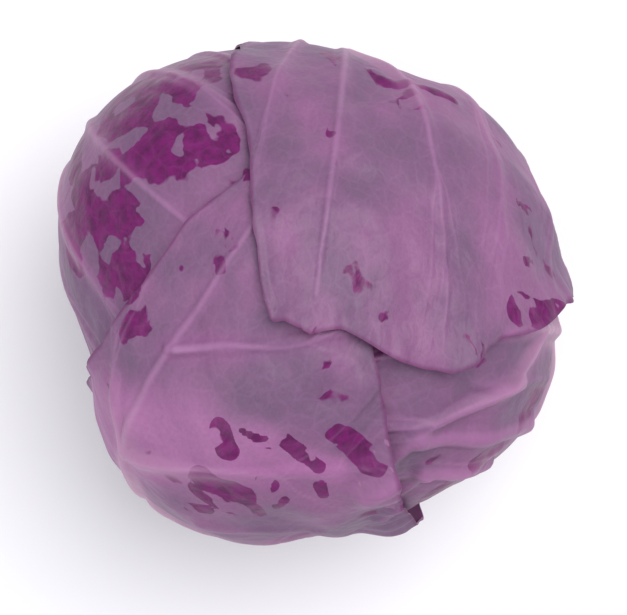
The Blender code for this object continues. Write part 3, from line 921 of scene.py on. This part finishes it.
def bloom_group():
    tree, given, result = new_tree(
        "waxy bloom",
        "ShaderNodeTree",
        (("Place", "Vector"), ("Patch size mm", "Float", 20.0),
         ("Ragged size mm", "Float", 7.5), ("Island size mm", "Float", 9.0),
         ("Worn", "Float", 0.0), ("Rubbed", "Float", 0.30), ("Softness", "Float", 0.015)),
        (("Bloom", "Float"), ("Dust", "Float"), ("Warmth", "Float")),
    )
    place = warped(tree, given["Place"], 18.0, 0.05)
    broad = noise(tree, place, per_unit(tree, given["Patch size mm"]), 1.0, 0.4)
    ragged = noise(tree, place, per_unit(tree, given["Ragged size mm"]), 1.4, 0.45)
    broad, ragged = times(tree, broad, BROAD_WEIGHT), times(tree, ragged, RAGGED_WEIGHT)
    field = calc(tree, "SUBTRACT", calc(tree, "ADD", broad, ragged), MEAN_SHIFT)
    field = calc(tree, "SUBTRACT", field, times(tree, given["Worn"], WORN_WEIGHT))
    low = calc(tree, "SUBTRACT", given["Rubbed"], given["Softness"])
    high = calc(tree, "ADD", given["Rubbed"], given["Softness"])
    aside = vector(tree, "ADD", place, ISLAND_SHIFT)
    island = noise(tree, aside, per_unit(tree, given["Island size mm"]), 0.6)
    island = step(tree, island, *ISLAND_EDGE, 0.0, ISLAND_BLOOM)
    dust = noise(tree, given["Place"], 90.0, 4.0, 0.6)
    warmth = noise(tree, given["Place"], 3.4, 2.0)
    fill(tree, result, {
        "Bloom": calc(tree, "MAXIMUM", step(tree, field, low, high), island),
        "Dust": step(tree, dust, 0.25, 0.75, 0.84, 1.0),
        "Warmth": step(tree, warmth, 0.36, 0.66),
    })
    return tree


BLOOM = bloom_group()


# %% Shader group: the net of fine veins
def net_group():
    tree, given, result = new_tree(
        "fine veins",
        "ShaderNodeTree",
        (("Place", "Vector"), ("Cell size mm", "Float", 5.0), ("Line width", "Float", 0.06)),
        (("Line", "Float"), ("Pillow", "Float")),
    )
    place = warped(tree, given["Place"], 26.0, 0.025)
    scale = per_unit(tree, given["Cell size mm"])
    away = put(tree, "ShaderNodeTexVoronoi", {"Vector": place, "Scale": scale},
               feature="DISTANCE_TO_EDGE")["Distance"]
    fill(tree, result, {
        "Line": step(tree, away, 0.0, given["Line width"], 1.0, 0.0),
        "Pillow": step(tree, away, 0.0, 0.35),
    })
    return tree


NET = net_group()
print("shader groups:", [tree.name for tree in (BLOOM, NET)])


# %% Helpers for materials
def new_material(name):
    material = bpy.data.materials.new(name)
    material.use_nodes = True
    return material, material.node_tree, material.node_tree.nodes["Principled BSDF"]


def use_group(tree, group, inputs):
    return put(tree, "ShaderNodeGroup", inputs, node_tree=group)


def vein_net(tree, place, cell_size, line_width):
    inputs = {"Place": place, "Cell size mm": cell_size, "Line width": line_width}
    return use_group(tree, NET, inputs)


def relief(tree, height, distance, inputs=()):
    """A bump of the surface by a height from 0 to 1."""
    inputs = {"Height": height, "Distance": distance, **dict(inputs)}
    return put(tree, "ShaderNodeBump", inputs)[0]


def attribute(tree, name):
    return put(tree, "ShaderNodeAttribute", attribute_name=name)["Fac"]


def object_place(tree):
    """Places on an object, in the patterns' unit."""
    place = put(tree, "ShaderNodeTexCoord")["Object"]
    return vector(tree, "SCALE", place, 1 / PATTERN_UNIT)


# %% The wrapper leaves' material
ROSY_SHARE = 0.9
COARSE_LINE = 0.085
FINE_LINE = 0.04
FINE_PILLOW = 0.3
PILLOW_HEIGHT = 0.07 * MM
PUFF_HEIGHT = 1.6 * MM


def leaf_colour(tree, place, bloom, coarse, fine):
    """From the skin outwards: pigment, bloom, painted light on the fold crests, fine veins, ribs,
    base, and a margin that is darker, partly by its own colour and partly by painted shade.
    """

    def by(name, low, high, to_low, to_high):
        return step(tree, attribute(tree, name), low, high, to_low, to_high)

    # The rosy places are painted light that falls through the raised side of the leaf
    rosy = times(tree, attribute(tree, "rosy"), ROSY_SHARE)
    haze = paint(tree, HAZE, ((bloom["Warmth"], HAZE_WARM), (rosy, ROSY_PAINTED_LIGHT)))
    coarse_lines = times(tree, coarse["Line"], COARSE_LINE)
    lines = calc(tree, "ADD", coarse_lines, times(tree, fine["Line"], FINE_LINE))
    paling = by("from_base", 80 * MM, 145 * MM, 1.0, 0.0)
    return paint(tree, DEEP, (
        (step(tree, noise(tree, place, 30.0, 3.0), 0.35, 0.7), DEEP_DARK),
        (times(tree, bloom["Bloom"], bloom["Dust"]), haze),
        (by("glow", 0.05, 1.3, 0.0, 0.55), GLOW),
        # The fold crests get the rosy colour: painted light on the raised folds
        (by("fold", 0.5, 1.8, 0.0, 0.55), ROSY_PAINTED_LIGHT),
        (times(tree, lines, step(tree, bloom["Bloom"], 0.0, 1.0, 0.4, 1.0)), RIB_LILAC),
        (times(tree, by("glow", 0.3, 1.0, 0.0, 0.8), paling), BASE_PALE),
        (by("rib", 0.0, 0.95, 0.0, 0.85), paint(tree, RIB_LILAC, ((paling, BASE_PALE),))),
        (by("from_base", 8 * MM, 92 * MM, 0.95, 0.0), BASE_PALE),
        (by("from_base", 4 * MM, 42 * MM, 0.85, 0.0), BASE_WHITE),
        # Darker magenta along the margin: partly the margin's own colour, partly painted shade of
        # the leaf's edge
        (by("depth", 0.1 * MM, 1.5 * MM, 0.6, 0.0), EDGE_MAGENTA),
        (by("outer_face", 0.0, 1.0, 0.7, 0.0), INNER_FACE),
    ))


def wrapper_material():
    material, tree, shader = new_material("red_cabbage_leaf")
    place = put(tree, "ShaderNodeUVMap", uv_map="flat")[0]
    bloom = use_group(tree, BLOOM, {"Place": place, "Worn": attribute(tree, "worn")})
    coarse, fine = vein_net(tree, place, 6.0, 0.10), vein_net(tree, place, 1.8, 0.16)
    pillows = calc(tree, "ADD", coarse["Pillow"], times(tree, fine["Pillow"], FINE_PILLOW))
    bump = {"Normal": relief(tree, pillows, PILLOW_HEIGHT)}
    fill(tree, shader, {
        "Base Color": leaf_colour(tree, place, bloom, coarse, fine),
        "Roughness": step(tree, bloom["Bloom"], 0.0, 1.0, 0.36, 0.48),
        "Specular IOR Level": 0.26,
        "Normal": relief(tree, noise(tree, place, 9.0, 2.0, 0.4), PUFF_HEIGHT, bump),
    })
    return material


LEAF_FINISH = wrapper_material()
print("material:", LEAF_FINISH.name)

# %% [markdown]
# ## Put crests and finish on the leaves
#
# The same tree runs twice on each sheet, for the midrib and for the side ribs, so a
# side rib can start inside the wide midrib without cutting a notch in it. After that
# the result is a plain mesh, and the lines and the modifiers are gone.


# %% Turn what nodes made into a plain mesh
def make_plain(made):
    depsgraph = bpy.context.evaluated_depsgraph_get()
    mesh = bpy.data.meshes.new_from_object(
        made.evaluated_get(depsgraph), preserve_all_data_layers=True, depsgraph=depsgraph
    )
    made.modifiers.clear()
    made.data = mesh


def add_nodes(made, tree, **inputs):
    """Puts a Geometry Nodes tree on an object, with inputs by name, spaces as underscores."""
    modifier = made.modifiers.new(tree.name, "NODES")
    modifier.node_group = tree
    names = {item.name: item.identifier for item in tree.interface.items_tree
             if item.in_out == "INPUT"}
    for name, value in inputs.items():
        modifier[names[name.replace("_", " ")]] = value


# %% Finish the five wrapper leaves
def finish_leaf(index, sheet):
    leaf = LEAVES[index]
    lines = [
        rib_object(index, midrib_crests(leaf), "midrib_line"),
        rib_object(index, side_crests(leaf), "side_rib_lines"),
    ]
    for line in lines:
        add_nodes(sheet, CREST_TREE, Rib_lines=line, Height=1.0,
                  Full_height=CREST_MIDRIB[0][1], Finish=LEAF_FINISH)
    make_plain(sheet)
    for line in lines:
        bpy.data.objects.remove(line)
    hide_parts(leaf.name)
    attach(sheet, "root")


for index, sheet in enumerate(sheets):
    finish_leaf(index, sheet)
print("leaves finished:", [sheet.name for sheet in sheets])

# %% [markdown]
# ## The heart
#
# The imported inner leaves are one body. What shows of it in the gaps is the last few
# margins, low steps on a smooth ball. It uses the same leaf outlines, and the stalk's
# place is cut out of it.

# %% The heart's form
STALK_RADIUS = 16.0 * MM
# The stalk's side: (radius, height) in mm, from the bottom up
STALK_OUTLINE = (
    (16.5, 1.0), (15.7, 4.0), (14.2, 9.5), (12.6, 14.5), (11.0, 27.5), (9.0, 41.0), (6.5, 45.0)
)
SOCKET_GAP = 0.4 * MM
SOCKET_SIDES = 64
HEART_SEGMENTS = 120
HEART_RINGS = 72
HEART_STEP = 1.0 * MM
HEART_LEAVES = tuple(
    Leaf(name, bearing, 64, 64, 12, 0, 1.8, 0.74, 9 * MM, (), (), (1.0, 1.0), seed)
    for name, bearing, seed in (("heart_a", 75, 6), ("heart_b", 215, 7), ("heart_c", 340, 8))
)


def stalk_profile(grow):
    """(radius, height) up the stalk's side, grown outwards and upwards by a clearance."""
    side = np.array(STALK_OUTLINE) * MM
    side[:, 0] += grow
    side[-1, 1] += grow
    return side


def turned(r, z, angle):
    """Points and side faces of rings round the Z axis, from the bottom up."""
    z = z + 0 * angle
    points = np.stack([r * np.cos(angle), r * np.sin(angle), z], -1).reshape(-1, 3)
    return points, grid_quads(*z.shape, closed=True).tolist()


def socket_cutter():
    """The stalk's side grown by the gap, as a solid that goes down to below the cut."""
    profile = np.vstack([(STALK_RADIUS, -1 * MM), stalk_profile(SOCKET_GAP)])
    angle = np.linspace(0, 2 * np.pi, SOCKET_SIDES, endpoint=False)
    points, faces = turned(profile[:, :1], profile[:, 1:], angle)
    number = list(range(len(points)))
    faces += [number[:SOCKET_SIDES][::-1], number[-SOCKET_SIDES:]]
    return make_object("socket_cutter", points, faces)


# %% Build the heart
def heart_piece():
    bm = bmesh.new()
    bmesh.ops.create_uvsphere(
        bm, u_segments=HEART_SEGMENTS, v_segments=HEART_RINGS, radius=1.0
    )
    d = np.array([vertex.co for vertex in bm.verts])
    radius = heart_radius(d) - HEART_STEP
    for leaf in HEART_LEAVES[::-1]:
        radius = radius + HEART_STEP / len(HEART_LEAVES) * cover(leaf, d)
    for vertex, place in zip(bm.verts, MIDDLE + radius[:, None] * d):
        vertex.co = place
    mesh = bpy.data.meshes.new("heart_ball")
    bm.to_mesh(mesh)
    bm.free()
    mesh.shade_smooth()
    made = link("packed_heart", mesh)
    cutter = socket_cutter()
    cut = made.modifiers.new("socket", "BOOLEAN")
    cut.operation, cut.solver, cut.object = "DIFFERENCE", "EXACT", cutter
    make_plain(made)
    bpy.data.objects.remove(cutter)
    return made


heart = heart_piece()
print("heart:", len(heart.data.polygons), "faces")


# %% The heart's material
def heart_material():
    material, tree, shader = new_material("inner_cabbage_leaf")
    place = object_place(tree)
    net = vein_net(tree, place, 5.0, 0.12)
    colour = paint(tree, EDGE_MAGENTA, (
        (step(tree, noise(tree, place, 3.0, 3.0), 0.3, 0.7), RIB_LILAC),
        (times(tree, net["Line"], 0.4), BASE_PALE),
    ))
    bump = relief(tree, net["Pillow"], 0.15 * MM)
    fill(tree, shader, {"Base Color": colour, "Roughness": 0.42, "Normal": bump})
    return material


heart.data.materials.clear()
heart.data.materials.append(heart_material())
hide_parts("heart")
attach(heart, "root")

# %% [markdown]
# ## The stalk
#
# The knife left a flat, pale face. Its woody ring carries the head, the pith inside
# it has dried and sunk a little, and the rind at the rim is rounded. Scars of
# earlier leaves run round the short side like narrow ledges.

# %% The stalk's form
STALK_SIDES = 160
FACE_RINGS = 34
SIDE_RINGS = 60
PITH_DEPTH = 0.9 * MM
PITH_SHARE = 0.74
PITH_SLOPE = 0.35
RIND_ROUND = 0.9 * MM
SCAR_HEIGHT = 0.35 * MM
SCAR_PITCH = 3.2 * MM
SCAR_TURNS = 2
# Waves round the stalk: (how many, share of the radius, phase)
STALK_LOBES = ((3, 0.008, 0.4), (5, 0.006, 2.0))


def cut_face(r):
    """Height of the cut face at a radius: a flat ring round a sunken pith."""
    return PITH_DEPTH * smooth((PITH_SHARE * STALK_RADIUS - r) / (PITH_SLOPE * STALK_RADIUS))


def stalk_rings():
    """(radius, height) from the middle of the cut face, out and up to the top."""
    start = STALK_RADIUS - RIND_ROUND
    rings = [(r, cut_face(r)) for r in np.linspace(0.02, 1.0, FACE_RINGS) * start]
    quarter = np.linspace(0.2, 1.0, 5) * np.pi / 2
    rings += [(start + RIND_ROUND * np.sin(a), RIND_ROUND * (1 - np.cos(a))) for a in quarter]
    radius, height = stalk_profile(0.0).T
    heights = np.linspace(1.5 * MM, height[-1], SIDE_RINGS)
    return np.array(rings + [(np.interp(z, height, radius), z) for z in heights])


def stalk_piece():
    rings = stalk_rings()
    angle = np.linspace(0, 2 * np.pi, STALK_SIDES, endpoint=False)
    r, z = rings[:, :1], rings[:, 1:]
    r = r * (1 + sum(share * np.sin(n * angle + phase) for n, share, phase in STALK_LOBES))
    winding = (z / SCAR_PITCH + angle / (2 * np.pi) * SCAR_TURNS) % 1.0
    on_side = smooth((z - 2 * MM) / (2 * MM)) * (1 - smooth((z - 11 * MM) / (3 * MM)))
    r = r - SCAR_HEIGHT * on_side * smooth((winding - 0.55) / 0.4)
    points, faces = turned(r, z, angle)
    ends = [(0, 0, cut_face(0.0)), (0, 0, rings[-1, 1])]
    last, bottom, top = len(points) - STALK_SIDES, len(points), len(points) + 1
    for j in range(STALK_SIDES):
        k = (j + 1) % STALK_SIDES
        faces += [(k, j, bottom), (last + j, last + k, top)]
    made = make_object("cut_stalk", np.concatenate([points, ends]), faces)
    made.data.shade_smooth()
    return made


stalk = stalk_piece()
print("stalk:", len(stalk.data.polygons), "faces")


# %% Fibre bundles in the woody ring, by Geometry Nodes
def fibre_tree():
    tree, given, result = new_tree(
        "ring of fibres",
        "GeometryNodeTree",
        (("Geometry", "Geometry"), ("Count", "Int", 60), ("Ring radius", "Float", 0.01),
         ("Height", "Float", 0.0), ("Size", "Float", 0.0005), ("Seed", "Int", 1),
         ("Finish", "Material")),
        (("Geometry", "Geometry"),),
    )
    ring = put(tree, "GeometryNodeMeshCircle",
               {"Vertices": given["Count"], "Radius": given["Ring radius"]})[0]
    lift = put(tree, "ShaderNodeCombineXYZ", {"Z": given["Height"]})[0]
    ring = put(tree, "GeometryNodeSetPosition", {"Geometry": ring, "Offset": lift})[0]
    bead = put(tree, "GeometryNodeMeshIcoSphere", {"Radius": given["Size"], "Subdivisions": 2})[0]
    bead = put(tree, "GeometryNodeSetShadeSmooth", {"Geometry": bead})[0]
    place = put(tree, "GeometryNodeInputPosition")[0]
    split = put(tree, "ShaderNodeSeparateXYZ", {0: place})
    turn = calc(tree, "ARCTAN2", split["Y"], split["X"])
    spin = put(tree, "ShaderNodeCombineXYZ", {"Z": turn})[0]
    draw = put(tree, "FunctionNodeRandomValue",
               {"Min": (0.9, 0.5, 0.35), "Max": (1.7, 0.9, 0.5), "Seed": given["Seed"]},
               data_type="FLOAT_VECTOR")[0]
    beads = put(tree, "GeometryNodeInstanceOnPoints",
                {"Points": ring, "Instance": bead, "Rotation": spin, "Scale": draw})[0]
    end_tree(tree, beads, given["Finish"], result)
    return tree


FIBRE_TREE = fibre_tree()


# %% The stalk's material
PITH = (0.800, 0.720, 0.620, 1.0)
WOOD = (0.640, 0.520, 0.380, 1.0)
RIND = (0.560, 0.400, 0.450, 1.0)


def stalk_material():
    material, tree, shader = new_material("cabbage_stalk")
    place, edge = object_place(tree), STALK_RADIUS / PATTERN_UNIT
    split = put(tree, "ShaderNodeSeparateXYZ", {0: place})
    squares = [times(tree, split[axis], split[axis]) for axis in "XY"]
    radius = calc(tree, "SQRT", calc(tree, "ADD", *squares))
    grain, blot = noise(tree, place, 60.0, 5.0), noise(tree, place, 9.0, 3.0)
    colour = paint(tree, PITH, (
        (step(tree, radius, 0.60 * edge, 0.80 * edge), WOOD),
        (step(tree, radius, 0.90 * edge, 0.97 * edge), RIND),
        (step(tree, grain, 0.35, 0.8, 0.0, 0.35), WOOD),
        (step(tree, blot, 0.5, 0.75, 0.0, 0.4), RIND),
    ))
    bump = relief(tree, grain, 0.25 * MM)
    fill(tree, shader, {"Base Color": colour, "Roughness": 0.6, "Normal": bump})
    return material


STALK_FINISH = stalk_material()
stalk.data.materials.append(STALK_FINISH)
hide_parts("stalk")
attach(stalk, "root")

# %% Place the fibre rings on the cut face
# How many fibres, share of the stalk's radius, size, seed
FIBRE_RINGS = ((50, 0.61, 0.40 * MM, 4), (42, 0.52, 0.36 * MM, 9))
for number, (count, share, size, seed) in enumerate(FIBRE_RINGS, 1):
    ring = link(f"stalk_fibres_{number}", bpy.data.meshes.new(f"stalk_fibres_{number}"))
    ring_radius = share * STALK_RADIUS
    add_nodes(ring, FIBRE_TREE, Count=count, Ring_radius=ring_radius,
              Height=float(cut_face(ring_radius)), Size=size, Seed=seed, Finish=STALK_FINISH)
    make_plain(ring)
    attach(ring, "root")
    print(ring.name, len(ring.data.polygons), "faces")

# %% [markdown]
# ## Floor, light and camera
#
# The picture is bright and nearly without shadow. A pale floor, a pale sky and one
# wide soft lamp give that, with a weaker one from the other side. The camera looks
# down at the crown, a little from the front, from about half a metre.

# %% Floor
FLOOR_HALF = 3.0
FLOOR_COLOUR = (0.86, 0.86, 0.88, 1.0)
corners = FLOOR_HALF * np.array([(-1, -1, 0), (1, -1, 0), (1, 1, 0), (-1, 1, 0)])
floor = make_object("floor", corners, [(0, 1, 2, 3)])
floor_finish, floor_tree, floor_shader = new_material("pale_floor")
fill(floor_tree, floor_shader, {"Base Color": FLOOR_COLOUR, "Roughness": 0.7})
floor.data.materials.append(floor_finish)
floor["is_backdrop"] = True

# %% Light
SKY_COLOUR = (0.95, 0.96, 1.0, 1.0)
SKY_STRENGTH = 0.62
LAMP_SIZE = 1.0
# Name, place, power, colour
LAMPS = (
    ("key", (0.35, 0.25, 1.1), 11.0, (1.0, 0.99, 0.98)),
    ("fill", (-0.8, -0.6, 0.7), 4.0, (0.97, 0.98, 1.0)),
)


def aimed(name, data, place, way):
    """An object at a place that looks along a way."""
    made = link(name, data)
    made.location = place
    made.rotation_euler = way.to_track_quat("-Z", "Y").to_euler()
    return made


for name, place, power, colour in LAMPS:
    lamp = bpy.data.lights.new(name, "AREA")
    lamp.shape, lamp.size, lamp.energy, lamp.color = "DISK", LAMP_SIZE, power, colour
    aimed(name, lamp, place, Vector(MIDDLE) - Vector(place))
world = bpy.data.worlds.new("sky")
world.use_nodes = True
sky = {"Color": SKY_COLOUR, "Strength": SKY_STRENGTH}
fill(world.node_tree, world.node_tree.nodes["Background"], sky)
bpy.context.scene.world = world
bpy.context.scene.view_settings.view_transform = "Standard"

# %% Camera
PHOTO_WIDTH = 627
PIXELS_PER_METRE = 3.77 / MM
SENSOR_WIDTH = 36.0
CAMERA_ELEVATION = 86.0
CAMERA_DISTANCE = 0.55
AIM = Vector((1.2 * MM, -4.5 * MM, MIDDLE[2]))

camera_data = bpy.data.cameras.new("camera")
camera_data.sensor_width = SENSOR_WIDTH
camera_data.lens = SENSOR_WIDTH * CAMERA_DISTANCE * PIXELS_PER_METRE / PHOTO_WIDTH
camera_data.clip_start, camera_data.clip_end = 0.01, 20.0
tilt = np.radians(CAMERA_ELEVATION)
back = Vector((0.0, -np.cos(tilt), np.sin(tilt)))
camera = aimed("camera", camera_data, AIM + CAMERA_DISTANCE * back, -back)
bpy.context.scene.camera = camera
print("lens in mm:", round(camera_data.lens, 1))

# %% [markdown]
# ## Both sizes
#
# The dressed model must fill the same box as the imported one, so both boxes are printed.

# %% Print both sizes
sizes = {
    "cad": [list(corner) for corner in cad_box],
    "visual": [list(corner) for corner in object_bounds()],
}
for label, (low, high) in sizes.items():
    print(label, "size in mm:", [round((b - a) / MM, 1) for a, b in zip(low, high)])
